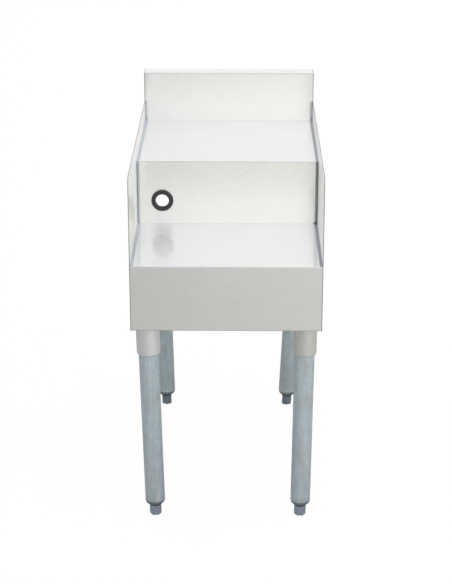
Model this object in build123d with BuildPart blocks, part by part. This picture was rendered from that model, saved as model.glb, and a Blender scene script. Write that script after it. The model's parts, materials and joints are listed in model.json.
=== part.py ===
from build123d import *
from math import acos, cos, degrees, radians, sin, tan
import os

os.makedirs("parts", exist_ok=True)

# A bar blender station: a stepped stand of folded stainless sheet on four tube legs.
# Millimetres. X runs to the right, Y from front to back and Z up.
# The origin is on the floor under the middle of the body.

# Body, with the feet screwed right in
width = 355.6
depth = 609.6
leg_clearance = 400.05
apron_height = 127.0
riser_height = 127.0
splash_height = 101.6
deck_depth = 254.0
splash_depth = 41.3
side_rise = 41.3

# Sheet work: radii are those inside a bend
sheet = 1.5
front_inside = 0.6
back_inside = 1.0
lap_height = 20.0
apron_hem = 12.0
splash_lip = 25.0
side_hem = 12.0
side_return = 16.0
side_corner = 9.0
return_gap = 2.0
weld_radius = 5.0
weld_bite = 0.3

# Hat sections under the deck and the shelf
hat_crown = 40.0
hat_drop = 20.0
hat_foot = 12.0
hat_end_gap = 12.0

# Channels that carry the legs
channel_lift = 20.0
channel_flange = 25.0

# Legs: the lean brings each foot nearer the middle, in degrees. The tubes have play in their
# sockets, so the four lean differently.
# The dome's edge is how far its mouth lies outside the centre of its arc.
front_left_lean = 1.5
front_right_lean = 0.7
rear_left_lean = 1.4
rear_right_lean = 2.7
tube_diameter = 38.1
tube_wall = 1.6
dome_mouth = 23.0
dome_edge = 1.95

# Leg sockets: a bolted plate and a sleeve that holds the tube
plate_thickness = 3.0
plate_reach = 34.0
plate_side_gap = 0.3
plate_bend_gap = 2.3
plate_corner = 4.0
socket_drop = 60.5
socket_wall = 3.2
socket_fit = 0.1
socket_lip = 2.6
socket_flare = 2.0
socket_flare_height = 10.0
socket_side_gap = 3.4
socket_end = 1.5

# Bolts and nuts of the sockets
bolt_diameter = 6.0
bolt_hole_gap = 0.3
bolt_head_flats = 10.0
bolt_head_height = 4.0
nut_height = 5.0
nut_fit = 0.03
bolt_tail = 2.0
bolt_edge = 8.0
bolt_flare_gap = 2.65

# Set screws of the sockets
set_screw_diameter = 8.0
set_screw_fit = 0.05
set_screw_height = 20.0
set_screw_proud = 1.5
key_flats = 4.0
key_depth = 4.0
boss_diameter = 14.0
boss_height = 3.0

# Levelling feet, their studs, and the plugs that hold the studs in the tubes
foot_height = 20.4
foot_flats = 20.0
foot_chamfer = 0.8
foot_travel = 25.0
stud_diameter = 10.0
stud_fit = 0.05
stud_seat = 6.0
stud_hold = 15.0
stud_chamfer = 1.0
neck_height = 2.2
neck_fit = 0.15
plug_height = 25.0
plug_fit = 0.05

# Cord grommet
grommet_from_side = 50.1
grommet_rise = 47.15
grommet_bore = 26.0
grommet_wall = 4.0
grommet_fit = 0.1
grommet_front_flange = 4.6
grommet_back_flange = 3.0
grommet_front = 4.0
grommet_back = 2.5
grommet_round = 2.8
grommet_edge = 0.9

# Levels and planes of the body
front_y = -depth / 2
rear_y = depth / 2
riser_y = front_y + deck_depth
splash_y = rear_y - splash_depth
apron_z = leg_clearance
deck_z = apron_z + apron_height
shelf_z = deck_z + riser_height
top_z = shelf_z + splash_height
side_top_z = shelf_z + side_rise
outer_x = width / 2
inner_x = outer_x - sheet
front_bend = sheet + front_inside
back_bend = sheet + back_inside

# Sockets: the legs stand as near the corners as plates, bolts and bends allow
channel_z = apron_z + channel_lift
plate_z = channel_z - plate_thickness
tube_radius = tube_diameter / 2
socket_bore = tube_radius + socket_fit
socket_radius = socket_bore + socket_wall
flare_radius = socket_radius + socket_flare
bolt_radius = bolt_diameter / 2
bolt_y = flare_radius + bolt_flare_gap
plate_length = 2 * (bolt_y + bolt_edge)
channel_half = plate_length / 2 + plate_bend_gap + back_bend
leg_x = inner_x - socket_side_gap - flare_radius
leg_y = rear_y - sheet - channel_half

# Heights along a leg: the tube's from the apron's underside, the foot's from the floor.
# The set screw's end is measured from the leg's axis.
tube_top = channel_lift - plate_thickness - socket_end
screw_end = socket_radius + boss_height + set_screw_proud
dome_radius = tube_radius - dome_mouth / 2 + dome_edge
dome_level = foot_height + neck_height + (dome_radius**2 - dome_edge**2) ** 0.5
stud_top = dome_level + stud_hold + foot_travel


def folded_section(points, radii, side):
    """A folded sheet's section in the YZ plane: the line of one face, thickened to one side."""
    with BuildSketch(Plane.YZ) as section:
        with BuildLine():
            FilletPolyline(*points, radius=radii)
            offset(amount=sheet, side=side)
        make_face()
    return section.sketch


# Right corner weld: the hollow fillet that joins deck, riser, shelf and splash to the side panel,
# with its root bitten into the sheets. It starts where the deck's front bend ends, and runs over
# the shelf's front bend with it.
with BuildPart() as right_corner_weld:
    with BuildLine() as corner_line:
        FilletPolyline(
            (inner_x, front_y + front_bend, deck_z),
            (inner_x, riser_y, deck_z),
            (inner_x, riser_y, shelf_z),
            (inner_x, splash_y, shelf_z),
            (inner_x, splash_y, side_top_z),
            radius=[0, front_bend, 0],
        )
    with BuildSketch(Plane(corner_line.line @ 0, x_dir=(1, 0, 0), z_dir=(0, -1, 0))):
        with BuildLine():
            CenterArc((-weld_radius, weld_radius), weld_radius, -90, 90)
            Polyline(
                (0, weld_radius),
                (weld_bite, weld_radius),
                (weld_bite, -weld_bite),
                (-weld_radius, -weld_bite),
                (-weld_radius, 0),
            )
        make_face()
    sweep(path=corner_line.wires()[0], transition=Transition.RIGHT)
right_corner_weld.part.label = "right_corner_weld"
export_step(right_corner_weld.part, "parts/right_corner_weld.step")

with BuildPart() as left_corner_weld:
    mirror(right_corner_weld.part, about=Plane.YZ)
left_corner_weld.part.label = "left_corner_weld"
export_step(left_corner_weld.part, "parts/left_corner_weld.step")

# Right side panel: a flat sheet with a hem along its foot and a return along its rear edge.
# Behind the backsplash it stands up to the top and closes the splash's end.
with BuildPart() as right_side_panel:
    with BuildSketch(Plane.YZ.offset(inner_x)):
        with BuildLine():
            FilletPolyline(
                (front_y, apron_z),
                (rear_y, apron_z),
                (rear_y, top_z),
                (splash_y, top_z),
                (splash_y, side_top_z),
                (front_y, side_top_z),
                radius=[0, 0, back_bend, front_bend, 0, side_corner],
                close=True,
            )
        make_face()
    extrude(amount=sheet)
    with BuildSketch(Plane.YZ.offset(inner_x)):
        with Locations((rear_y, apron_z)):
            Rectangle(depth - apron_hem, side_hem, align=(Align.MAX, Align.MIN))
    extrude(amount=-sheet)
    with BuildSketch(Plane.XY.offset(apron_z)):
        with Locations((inner_x, rear_y)):
            Rectangle(side_return, sheet, align=(Align.MAX, Align.MAX))
    extrude(amount=top_z - splash_lip - return_gap - apron_z)
    add(right_corner_weld.part, mode=Mode.SUBTRACT)
right_side_panel.part.label = "right_side_panel"
export_step(right_side_panel.part, "parts/right_side_panel.step")

with BuildPart() as left_side_panel:
    mirror(right_side_panel.part, about=Plane.YZ)
left_side_panel.part.label = "left_side_panel"
export_step(left_side_panel.part, "parts/left_side_panel.step")

# Deck and apron: hem, apron, front bend, deck and a flange turned down against the riser.
deck_line = [
    (front_y + apron_hem, apron_z),
    (front_y, apron_z),
    (front_y, deck_z),
    (riser_y, deck_z),
    (riser_y, deck_z - lap_height),
]
with BuildPart() as deck_and_apron:
    extrude(
        folded_section(deck_line, [back_bend, front_bend, back_bend], Side.RIGHT),
        amount=inner_x,
        both=True,
    )
    add([right_corner_weld.part, left_corner_weld.part], mode=Mode.SUBTRACT)
deck_and_apron.part.label = "deck_and_apron"
export_step(deck_and_apron.part, "parts/deck_and_apron.step")

# Riser and shelf: the riser laps down behind the deck's flange, and is pierced for the grommet.
grommet_x = grommet_from_side - outer_x
grommet_z = deck_z + grommet_rise
hole_radius = grommet_bore / 2 + grommet_wall
shelf_line = [
    (riser_y, deck_z - lap_height),
    (riser_y, shelf_z),
    (splash_y, shelf_z),
    (splash_y, shelf_z - lap_height),
]
with BuildPart() as riser_and_shelf:
    extrude(
        folded_section(shelf_line, [front_bend, back_bend], Side.RIGHT),
        amount=inner_x,
        both=True,
    )
    with BuildSketch(Plane.XZ.offset(-riser_y)):
        with Locations((grommet_x, grommet_z)):
            Circle(hole_radius)
    extrude(amount=-sheet, mode=Mode.SUBTRACT)
    add([right_corner_weld.part, left_corner_weld.part], mode=Mode.SUBTRACT)
riser_and_shelf.part.label = "riser_and_shelf"
export_step(riser_and_shelf.part, "parts/riser_and_shelf.step")

# Backsplash: laps down behind the shelf's flange, returns over the top and ends in a rear lip.
splash_line = [
    (splash_y, shelf_z - lap_height),
    (splash_y, top_z),
    (rear_y, top_z),
    (rear_y, top_z - splash_lip),
]
with BuildPart() as backsplash:
    extrude(
        folded_section(splash_line, [front_bend, back_bend], Side.RIGHT),
        amount=inner_x,
        both=True,
    )
    add([right_corner_weld.part, left_corner_weld.part], mode=Mode.SUBTRACT)
backsplash.part.label = "backsplash"
export_step(backsplash.part, "parts/backsplash.step")


def hat_section(middle_y, under_z):
    """A hat section that hangs under a surface, open side up, with a foot along each edge."""
    crown = hat_crown / 2
    line = [
        (middle_y - crown - hat_foot, under_z),
        (middle_y - crown, under_z),
        (middle_y - crown, under_z - hat_drop),
        (middle_y + crown, under_z - hat_drop),
        (middle_y + crown, under_z),
        (middle_y + crown + hat_foot, under_z),
    ]
    return folded_section(line, back_bend, Side.RIGHT)


# Stiffeners: one hat section across the middle of the deck, one across the middle of the shelf.
hat_half_length = inner_x - hat_end_gap
with BuildPart() as deck_stiffener:
    extrude(hat_section((front_y + riser_y) / 2, deck_z - sheet), amount=hat_half_length, both=True)
deck_stiffener.part.label = "deck_stiffener"
export_step(deck_stiffener.part, "parts/deck_stiffener.step")

with BuildPart() as shelf_stiffener:
    extrude(hat_section((riser_y + splash_y) / 2, shelf_z - sheet), amount=hat_half_length, both=True)
shelf_stiffener.part.label = "shelf_stiffener"
export_step(shelf_stiffener.part, "parts/shelf_stiffener.step")

# Cord grommet: turned about the hole's axis, with a groove that grips the riser.
# Its profile is (radius, distance in front of the riser's face), the front flange rounded over.
neck_radius = hole_radius - grommet_fit
grommet_profile = [
    (grommet_bore / 2, -sheet - grommet_back),
    (grommet_bore / 2, grommet_front),
    (hole_radius + grommet_front_flange, grommet_front),
    (hole_radius + grommet_front_flange, 0),
    (neck_radius, 0),
    (neck_radius, -sheet),
    (hole_radius + grommet_back_flange, -sheet),
    (hole_radius + grommet_back_flange, -sheet - grommet_back),
]
grommet_radii = [grommet_edge, grommet_edge, grommet_round, 0, 0, 0, 0, grommet_edge]
grommet_center = Vector(grommet_x, riser_y, grommet_z)
with BuildPart() as cord_grommet:
    with BuildSketch(Plane(grommet_center, x_dir=(1, 0, 0), z_dir=(0, 0, -1))):
        with BuildLine():
            FilletPolyline(*grommet_profile, radius=grommet_radii, close=True)
        make_face()
    revolve(axis=Axis(grommet_center, (0, -1, 0)))
cord_grommet.part.label = "cord_grommet"
export_step(cord_grommet.part, "parts/cord_grommet.step")

# Legs: each corner has a side (-1 left, 1 right), a row (-1 front, 1 rear) and its leg's lean.
corners = {
    "front_left": (-1, -1, radians(front_left_lean)),
    "front_right": (1, -1, radians(front_right_lean)),
    "rear_left": (-1, 1, radians(rear_left_lean)),
    "rear_right": (1, 1, radians(rear_right_lean)),
}


def leg_frame(side, row, lean):
    """A leg's own frame: origin on its axis at the apron's underside, Z up along the axis."""
    return Plane(
        origin=(side * leg_x, row * leg_y, apron_z),
        x_dir=(cos(lean), 0, -side * sin(lean)),
        z_dir=(side * sin(lean), 0, cos(lean)),
    )


def half_plane(frame):
    """The plane through a leg's axis, in which a turned profile is drawn as (radius, height)."""
    return Plane(frame.origin, x_dir=frame.x_dir, z_dir=-frame.y_dir)


def set_screw_plane(frame, row):
    """The plane square to a socket's set screw, through the leg's axis, facing the middle."""
    origin = frame.origin - frame.z_dir * (socket_drop - set_screw_height)
    return Plane(origin, x_dir=frame.x_dir, z_dir=(0, -row, 0))


# A right socket plate's inner and outer edge in X: from a reach inside the leg to the side panel.
plate_inner = leg_x - plate_reach
plate_outer = inner_x - plate_side_gap


def bolt_points(side, row):
    """The four bolt places of one socket plate."""
    return [
        (side * x, row * leg_y + y)
        for x in (plate_inner + bolt_edge, plate_outer - bolt_edge)
        for y in (-bolt_y, bolt_y)
    ]


all_bolt_points = [point for side, row, _ in corners.values() for point in bolt_points(side, row)]

# Leg channels: folded up at the front and at the back, drilled for the socket bolts.
for channel, row in (("front_leg_channel", -1), ("rear_leg_channel", 1)):
    channel_line = [
        (row * leg_y - channel_half, channel_z + channel_flange),
        (row * leg_y - channel_half, channel_z),
        (row * leg_y + channel_half, channel_z),
        (row * leg_y + channel_half, channel_z + channel_flange),
    ]
    with BuildPart() as leg_channel:
        extrude(folded_section(channel_line, back_bend, Side.LEFT), amount=inner_x, both=True)
        with BuildSketch(Plane.XY.offset(channel_z)):
            with Locations(*bolt_points(-1, row), *bolt_points(1, row)):
                Circle(bolt_radius + bolt_hole_gap)
        extrude(amount=sheet, mode=Mode.SUBTRACT)
    leg_channel.part.label = channel
    export_step(leg_channel.part, f"parts/{channel}.step")

for corner, (side, row, lean) in corners.items():
    frame = leg_frame(side, row, lean)
    axis = Axis(frame.origin, frame.z_dir)
    inward = set_screw_plane(frame, row)

    # Socket: a sleeve with a flared root, a boss for the set screw, and the bolted plate.
    # The sleeve's bore is blind, and the tube bears on its end.
    with BuildPart() as gusset:
        with BuildSketch(half_plane(frame)):
            with BuildLine():
                FilletPolyline(
                    (0, -socket_drop),
                    (socket_radius, -socket_drop),
                    (socket_radius, channel_lift - plate_thickness - socket_flare_height),
                    (flare_radius, channel_lift - plate_thickness),
                    (flare_radius, channel_lift + plate_thickness),
                    (0, channel_lift + plate_thickness),
                    radius=[0, socket_lip, 0, 0, 0, 0],
                    close=True,
                )
            make_face()
        revolve(axis=axis)
        with BuildSketch(inward.offset(socket_bore)):
            Circle(boss_diameter / 2)
        extrude(amount=socket_wall + boss_height)
        split(bisect_by=Plane.XY.offset(plate_z), keep=Keep.BOTTOM)
        with BuildSketch(Plane.XY.offset(plate_z)):
            with Locations((side * (plate_inner + plate_outer) / 2, row * leg_y)):
                RectangleRounded(plate_outer - plate_inner, plate_length, plate_corner)
            with Locations(*bolt_points(side, row)):
                Circle(bolt_radius + bolt_hole_gap, mode=Mode.SUBTRACT)
        extrude(amount=plate_thickness)
        with BuildSketch(frame.offset(-socket_drop)):
            Circle(socket_bore)
        extrude(amount=socket_drop + tube_top, mode=Mode.SUBTRACT)
        with BuildSketch(inward.offset(tube_radius)):
            Circle(set_screw_diameter / 2 + set_screw_fit)
        extrude(amount=screw_end - tube_radius, mode=Mode.SUBTRACT)
    gusset.part.label = f"{corner}_gusset"
    export_step(gusset.part, f"parts/{corner}_gusset.step")

    # Leg: a tube whose lower end is drawn in to a dome with a mouth for the plug's neck.
    floor = -leg_clearance / cos(lean)
    dome_center = (tube_radius - dome_radius, floor + dome_level)
    dome_inside = dome_radius - tube_wall
    with BuildPart() as leg:
        with BuildSketch(half_plane(frame)):
            with BuildLine():
                outside = CenterArc(dome_center, dome_radius, 0, -degrees(acos(dome_edge / dome_radius)))
                inside = CenterArc(dome_center, dome_inside, 0, -degrees(acos(dome_edge / dome_inside)))
                Line(outside @ 1, inside @ 1)
                Polyline(
                    outside @ 0,
                    (tube_radius, tube_top),
                    (tube_radius - tube_wall, tube_top),
                    inside @ 0,
                )
            make_face()
        revolve(axis=axis)
    leg.part.label = f"{corner}_leg"
    export_step(leg.part, f"parts/{corner}_leg.step")

    # Plug: pressed into the tube, its neck showing as a ring between the dome and the foot.
    stud_bore = stud_diameter / 2 + stud_fit
    neck = dome_mouth / 2 - neck_fit
    plug_radius = tube_radius - tube_wall - plug_fit
    with BuildPart() as foot_plug:
        with BuildSketch(half_plane(frame)):
            with BuildLine():
                Polyline(
                    (stud_bore, floor + foot_height),
                    (neck, floor + foot_height),
                    (neck, floor + dome_level),
                    (plug_radius, floor + dome_level),
                    (plug_radius, floor + dome_level + plug_height),
                    (stud_bore, floor + dome_level + plug_height),
                    close=True,
                )
            make_face()
        revolve(axis=axis)
    foot_plug.part.label = f"{corner}_foot_plug"
    export_step(foot_plug.part, f"parts/{corner}_foot_plug.step")

    # Foot: a hexagon cut level at the floor. A front one turns a flat forward, a rear one a corner.
    below_floor = foot_flats * tan(lean)
    with BuildPart() as foot:
        with BuildSketch(frame.offset(floor - below_floor)):
            RegularPolygon(foot_flats / 2, 6, major_radius=False, rotation=0 if row < 0 else 30)
        extrude(amount=foot_height + below_floor)
        split(bisect_by=Plane.XY, keep=Keep.TOP)
        chamfer(foot.faces().sort_by(Axis.Z)[0].edges(), length=foot_chamfer)
        with BuildSketch(frame.offset(floor + stud_seat)):
            Circle(stud_bore)
        extrude(amount=foot_height, mode=Mode.SUBTRACT)
    foot.part.label = f"{corner}_foot"
    export_step(foot.part, f"parts/{corner}_foot.step")

    # Stud: fast in the foot, and long enough to stay in the plug when the foot is screwed out.
    stud_radius = stud_diameter / 2
    with BuildPart() as foot_stud:
        with BuildSketch(half_plane(frame)):
            with BuildLine():
                Polyline(
                    (0, floor + stud_seat),
                    (stud_radius, floor + stud_seat),
                    (stud_radius, floor + stud_top - stud_chamfer),
                    (stud_radius - stud_chamfer, floor + stud_top),
                    (0, floor + stud_top),
                    close=True,
                )
            make_face()
        revolve(axis=axis)
    foot_stud.part.label = f"{corner}_foot_stud"
    export_step(foot_stud.part, f"parts/{corner}_foot_stud.step")

# Socket bolts: heads under the plates, shanks up through plate, channel and nut.
with BuildPart() as gusset_bolts:
    with BuildSketch(Plane.XY.offset(plate_z - bolt_head_height)):
        with Locations(*all_bolt_points):
            RegularPolygon(bolt_head_flats / 2, 6, major_radius=False)
    extrude(amount=bolt_head_height)
    with BuildSketch(Plane.XY.offset(plate_z)):
        with Locations(*all_bolt_points):
            Circle(bolt_radius)
    extrude(amount=plate_thickness + sheet + nut_height + bolt_tail)
gusset_bolts.part.label = "gusset_bolts"
export_step(gusset_bolts.part, "parts/gusset_bolts.step")

# Socket nuts: on the floors of the channels.
with BuildPart() as gusset_nuts:
    with BuildSketch(Plane.XY.offset(channel_z + sheet)):
        with Locations(*all_bolt_points):
            RegularPolygon(bolt_head_flats / 2, 6, major_radius=False)
            Circle(bolt_radius + nut_fit, mode=Mode.SUBTRACT)
    extrude(amount=nut_height)
gusset_nuts.part.label = "gusset_nuts"
export_step(gusset_nuts.part, "parts/gusset_nuts.step")

# Set screws: one in each socket's boss, facing the middle of the stand, just clear of the tube.
with BuildPart() as gusset_set_screws:
    for side, row, lean in corners.values():
        inward = set_screw_plane(leg_frame(side, row, lean), row)
        with BuildSketch(inward.offset(tube_radius + set_screw_fit)):
            Circle(set_screw_diameter / 2)
        extrude(amount=screw_end - tube_radius - set_screw_fit)
        with BuildSketch(inward.offset(screw_end - key_depth)):
            RegularPolygon(key_flats / 2, 6, major_radius=False)
        extrude(amount=key_depth, mode=Mode.SUBTRACT)
gusset_set_screws.part.label = "gusset_set_screws"
export_step(gusset_set_screws.part, "parts/gusset_set_screws.step")
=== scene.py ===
"""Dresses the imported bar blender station: sheets, legs, feet, grommet, stage and camera."""

import json
import math

import bmesh
import bpy
import numpy as np
from bpy.props import FloatProperty, FloatVectorProperty, PointerProperty, StringProperty
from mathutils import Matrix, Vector


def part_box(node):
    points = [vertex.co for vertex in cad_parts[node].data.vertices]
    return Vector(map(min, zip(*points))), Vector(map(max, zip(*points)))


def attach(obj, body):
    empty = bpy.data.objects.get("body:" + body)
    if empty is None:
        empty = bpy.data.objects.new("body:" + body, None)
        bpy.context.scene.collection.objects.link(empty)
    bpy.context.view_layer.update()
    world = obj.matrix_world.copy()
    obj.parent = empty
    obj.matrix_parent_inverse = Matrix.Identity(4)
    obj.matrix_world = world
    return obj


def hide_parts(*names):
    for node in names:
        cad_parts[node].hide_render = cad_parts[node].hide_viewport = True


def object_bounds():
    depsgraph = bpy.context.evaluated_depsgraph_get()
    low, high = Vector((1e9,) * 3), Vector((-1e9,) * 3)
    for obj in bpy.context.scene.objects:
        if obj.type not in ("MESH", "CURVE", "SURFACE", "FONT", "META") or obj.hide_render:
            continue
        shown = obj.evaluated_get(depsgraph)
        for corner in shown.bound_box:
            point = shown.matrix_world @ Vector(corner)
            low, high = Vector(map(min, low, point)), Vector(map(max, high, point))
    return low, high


bl_info = {
    "name": "Bar blender station",
    "version": (1, 0, 0),
    "blender": (4, 5, 0),
    "location": "View3D > Sidebar > Station",
    "description": "Finishes, legs, feet, cord grommet and studio of a bar blender station",
    "category": "Object",
}

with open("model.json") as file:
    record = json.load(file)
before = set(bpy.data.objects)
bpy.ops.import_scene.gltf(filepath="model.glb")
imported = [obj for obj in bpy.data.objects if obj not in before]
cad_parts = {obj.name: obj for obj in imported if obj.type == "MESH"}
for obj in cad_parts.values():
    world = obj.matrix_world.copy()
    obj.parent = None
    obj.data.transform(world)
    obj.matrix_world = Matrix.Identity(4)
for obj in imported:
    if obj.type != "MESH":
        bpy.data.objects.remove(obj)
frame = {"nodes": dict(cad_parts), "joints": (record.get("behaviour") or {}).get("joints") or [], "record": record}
cad_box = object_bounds()
nodes = frame["nodes"]

MILLIMETRE = 0.001
CORNERS = ("front_left", "front_right", "rear_left", "rear_right")
TRAVEL = {joint["name"]: Vector(joint["axis"]) for joint in frame["joints"]}
MOUNTS = {mount["name"]: mount for mount in frame["record"]["mounts"]}

# An outward bend, in metres below its top: where the crown's painted highlight ends, the flank's
# painted shade, the faint dark line of painted shade under it, and where the plain face begins.
# FLAT is where the flat's tint starts and is full, in metres behind the front.
CROWN = 0.0004
FLANK = (0.0007, 0.0016)
PAINTED_SHADE_LINE = (0.002, 0.003)
FACE_TOP = 0.0045
FLAT = (0.0035, 0.005)

# Belt brushing: the shear of its marks, the noise values at which a scratch starts and is full, and
# the depth of a scratch in millimetres
BRUSH_SHEAR = 0.05
SCRATCH_EDGE = (0.41, 0.45)
SCRATCH_DEPTH = 0.002

# Blotches and stains on welds and tubes, in millimetres in each direction
BLOTCH = (9, 9, 14)
STAIN = (26, 26, 50)

# Points around a turned piece
COLUMNS = 96

# Settings of a Mix node whose output 2 is the product of the colours in its sockets 6 and 7
PRODUCT = {"data_type": "RGBA", "blend_type": "MULTIPLY", 0: 1.0}


def linear(hex_colour):
    """An sRGB hex colour as linear red, green, blue and alpha."""
    channels = np.array([int(hex_colour[at : at + 2], 16) for at in (0, 2, 4)]) / 255
    low = channels / 12.92
    high = ((channels + 0.055) / 1.055) ** 2.4
    return (*np.where(channels <= 0.04045, low, high), 1.0)


def add_node(tree, kind, settings=None, links=None):
    """Adds a node, sets its attributes and sockets by name or number, and links into it.

    The setting "stops" holds a colour ramp's stops, as (position, linear colour).
    """
    node = tree.nodes.new(kind)
    for name, value in (settings or {}).items():
        if name == "stops":
            elements = node.color_ramp.elements
            while len(elements) < len(value):
                elements.new(0.5)
            for element, (position, colour) in zip(elements, value):
                element.position = position
                element.color = colour
        elif isinstance(name, str) and hasattr(node, name):
            setattr(node, name, value)
        else:
            node.inputs[name].default_value = value
    for name, socket in (links or {}).items():
        tree.links.new(socket, node.inputs[name])
    return node


def new_material(name):
    """An empty node material with its output, as (material, tree, output)."""
    material = bpy.data.materials.new(name)
    material.use_nodes = True
    tree = material.node_tree
    tree.nodes.clear()
    output = add_node(tree, "ShaderNodeOutputMaterial")
    return material, tree, output


def streak_noise(tree, coordinates, sizes, detail=3.0, shear=0.0):
    """Noise whose grains are about sizes millimetres long in each direction of the coordinates.

    A shear staggers long grains, so that their ends don't line up across the surface.
    """
    scale = tuple(1 / (size * MILLIMETRE) for size in sizes)
    stretched = add_node(
        tree,
        "ShaderNodeMapping",
        {"Scale": scale, "Rotation": (shear, shear, shear)},
        {"Vector": coordinates},
    )
    noise = add_node(
        tree,
        "ShaderNodeTexNoise",
        {"Scale": 1.0, "Detail": detail, "Roughness": 0.6},
        {"Vector": stretched.outputs["Vector"]},
    )
    return noise.outputs["Fac"]


def grey_stops(low, high, start=0.3, end=0.7):
    """Two grey ramp stops, for a roughness or height that varies between low and high."""
    return [(start, (low, low, low, 1.0)), (end, (high, high, high, 1.0))]


def bands_along(tree, place, axis, stops):
    """Colours along an object axis, from (metres, hex) stops in rising order."""
    bottom, top = stops[0][0], stops[-1][0]
    height = add_node(tree, "ShaderNodeSeparateXYZ", links={"Vector": place}).outputs[axis]
    reach = {"From Min": bottom, "From Max": top}
    share = add_node(tree, "ShaderNodeMapRange", reach, {"Value": height})
    placed = [((level - bottom) / (top - bottom), linear(colour)) for level, colour in stops]
    links = {"Fac": share.outputs["Result"]}
    return add_node(tree, "ShaderNodeValToRGB", {"stops": placed}, links).outputs["Color"]


def outward_share(tree):
    """How far a face looks up or to the front: 1 where it does, and 0 at the back and below.

    It is 0.5 + 0.7 * (the normal's dot product with a direction halfway between up and front).
    """
    normal = add_node(tree, "ShaderNodeNewGeometry").outputs["Normal"]
    halfway = {"operation": "DOT_PRODUCT", 1: (0.0, -0.7, 0.7)}
    outward = add_node(tree, "ShaderNodeVectorMath", halfway, {0: normal}).outputs["Value"]
    centred = {"operation": "MULTIPLY_ADD", 1: 0.7, 2: 0.5}
    return add_node(tree, "ShaderNodeMath", centred, {0: outward}).outputs[0]


def unbrushed_tint(tree, colour, share, along, face, settings):
    """Dulls the faces the belt never met.

    On a side panel, brushed along Y, these are the sheared edges at its front and top. On a folded
    sheet, brushed along X, they are the underside and the back, which keep the mill finish; their
    darker tint is partly that finish and partly painted shade.
    """
    if along == "Y":
        stops = [(0.6, linear(face)), (0.8, linear(settings.edge_tint))]
    else:
        stops = [(0.2, linear(settings.mill_and_shade_tint)), (0.8, (1, 1, 1, 1))]
    tint = add_node(tree, "ShaderNodeValToRGB", {"stops": stops}, {"Fac": share}).outputs["Color"]
    return add_node(tree, "ShaderNodeMix", PRODUCT, {6: colour, 7: tint}).outputs[2]


def fold_tint(tree, colour, place, front, level, face, settings):
    """Tints a folded sheet about its outward bend, whose front and top are given in metres.

    From above: the flat, with a cool painted light tint, the crown of the bend left bright as a
    painted highlight, its flank darkened as painted shade, a faint dark line of painted shade under
    it, and the face that hangs below, which has a tint of its own: painted warm light on riser and
    splash, painted shade on the apron.
    """
    rising = [
        (level - FACE_TOP, face),
        (level - PAINTED_SHADE_LINE[1], settings.painted_shade_line),
        (level - PAINTED_SHADE_LINE[0], settings.painted_shade_line),
        (level - FLANK[1], settings.bend_flank),
        (level - FLANK[0], settings.bend_flank),
        (level - CROWN, "ffffff"),
    ]
    inward = [(front + FLAT[0], "ffffff"), (front + FLAT[1], settings.flat_light_tint)]
    for axis, stops in (("Z", rising), ("Y", inward)):
        tint = bands_along(tree, place, axis, stops)
        colour = add_node(tree, "ShaderNodeMix", PRODUCT, {6: colour, 7: tint}).outputs[2]
    return colour


def brush_marks(tree, place, along, settings):
    """The belt's scratches as noise, and the colour that they give the sheet with other marks.

    Its tone is half clouds, a quarter broad streaks and a quarter scratches. The scratches are
    finer than a pixel and only smear, and the streaks are as coarse as they need to be to show.
    """
    length, width = settings.scratch_length / MILLIMETRE, settings.scratch_width / MILLIMETRE
    long, wide = settings.streak_length / MILLIMETRE, settings.streak_width / MILLIMETRE
    cloud = (settings.cloud_size / MILLIMETRE,) * 3
    if along == "X":
        fine, coarse = (length, width, width), (long, wide, wide)
    else:
        fine, coarse = (width, length, width), (wide, long, wide)
    scratches = streak_noise(tree, place, fine, detail=2.0, shear=BRUSH_SHEAR)
    streaks = streak_noise(tree, place, coarse, detail=2.0, shear=BRUSH_SHEAR)
    clouds = streak_noise(tree, place, cloud, detail=2.0)
    half_added = {"operation": "MULTIPLY_ADD", 1: 0.5}
    streaked = add_node(tree, "ShaderNodeMath", half_added, {0: streaks, 2: clouds})
    marked = add_node(tree, "ShaderNodeMath", half_added, {0: scratches, 2: streaked.outputs[0]})
    half = {"operation": "MULTIPLY", 1: 0.5}
    tone = add_node(tree, "ShaderNodeMath", half, {0: marked.outputs[0]})
    stops = [(0.4, linear(settings.steel_dark)), (0.6, linear(settings.steel_light))]
    links = {"Fac": tone.outputs[0]}
    colour = add_node(tree, "ShaderNodeValToRGB", {"stops": stops}, links).outputs["Color"]
    return scratches, colour


def kept_dull(tree, place, rough, level, least):
    """Roughness that is nowhere under least on the face below a bend whose top is at level."""
    height = add_node(tree, "ShaderNodeSeparateXYZ", links={"Vector": place}).outputs["Z"]
    reach = {"From Min": level - PAINTED_SHADE_LINE[1], "From Max": level - PAINTED_SHADE_LINE[0]}
    fall = {**reach, "To Min": least, "To Max": 0.0}
    limit = add_node(tree, "ShaderNodeMapRange", fall, {"Value": height}).outputs["Result"]
    larger = {"operation": "MAXIMUM"}
    return add_node(tree, "ShaderNodeMath", larger, {0: rough, 1: limit}).outputs[0]


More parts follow.
